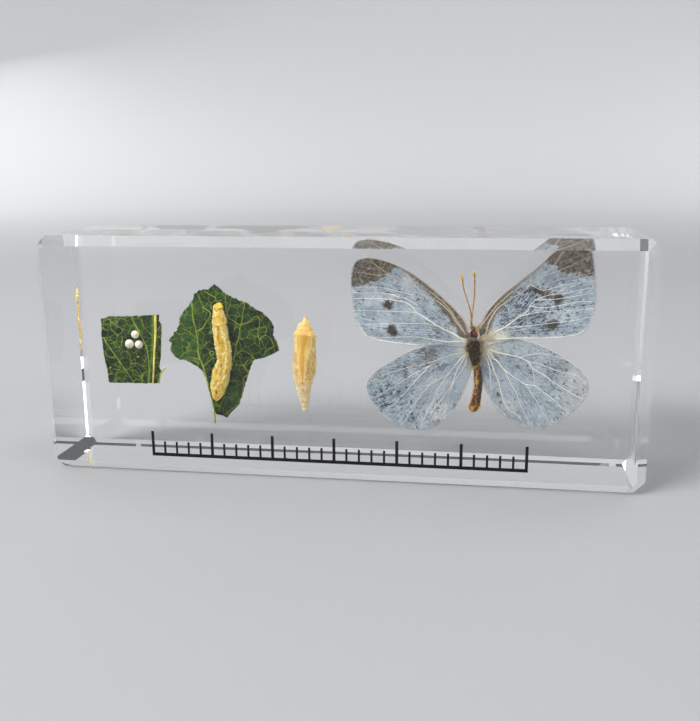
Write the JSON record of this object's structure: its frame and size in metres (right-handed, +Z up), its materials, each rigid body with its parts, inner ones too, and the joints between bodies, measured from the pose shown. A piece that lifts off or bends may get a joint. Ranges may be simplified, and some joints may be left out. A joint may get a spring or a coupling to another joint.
{
  "type": "insect in resin block",
  "caption": "Clear polished resin block with bevelled edges, holding a spread white butterfly, its chrysalis, a larva on a leaf and eggs on a leaf square.",
  "frame": {"origin": "middle of the underside, on the surface that the block stands on", "axes": "+Z up, X along the length, the display face looks towards -Y and the thickness runs along Y"},
  "size_m": [0.12, 0.029, 0.0485],
  "materials": {
    "clear_resin": "water-clear cast resin, all faces, bevels and corner flats polished to a gloss",
    "wing_scales": "pale blue-grey scale dust with cream veins, matt",
    "dry_insect": "dried brown and golden insect skin, slightly waxy, with fine hair",
    "dry_leaf": "pressed green leaf with yellow-green veins, satin",
    "printed_ink": "black screen-printed ink, satin"
  },
  "bodies": {
    "root": {"resin_block": "clear_resin"}
  },
  "joints": []
}
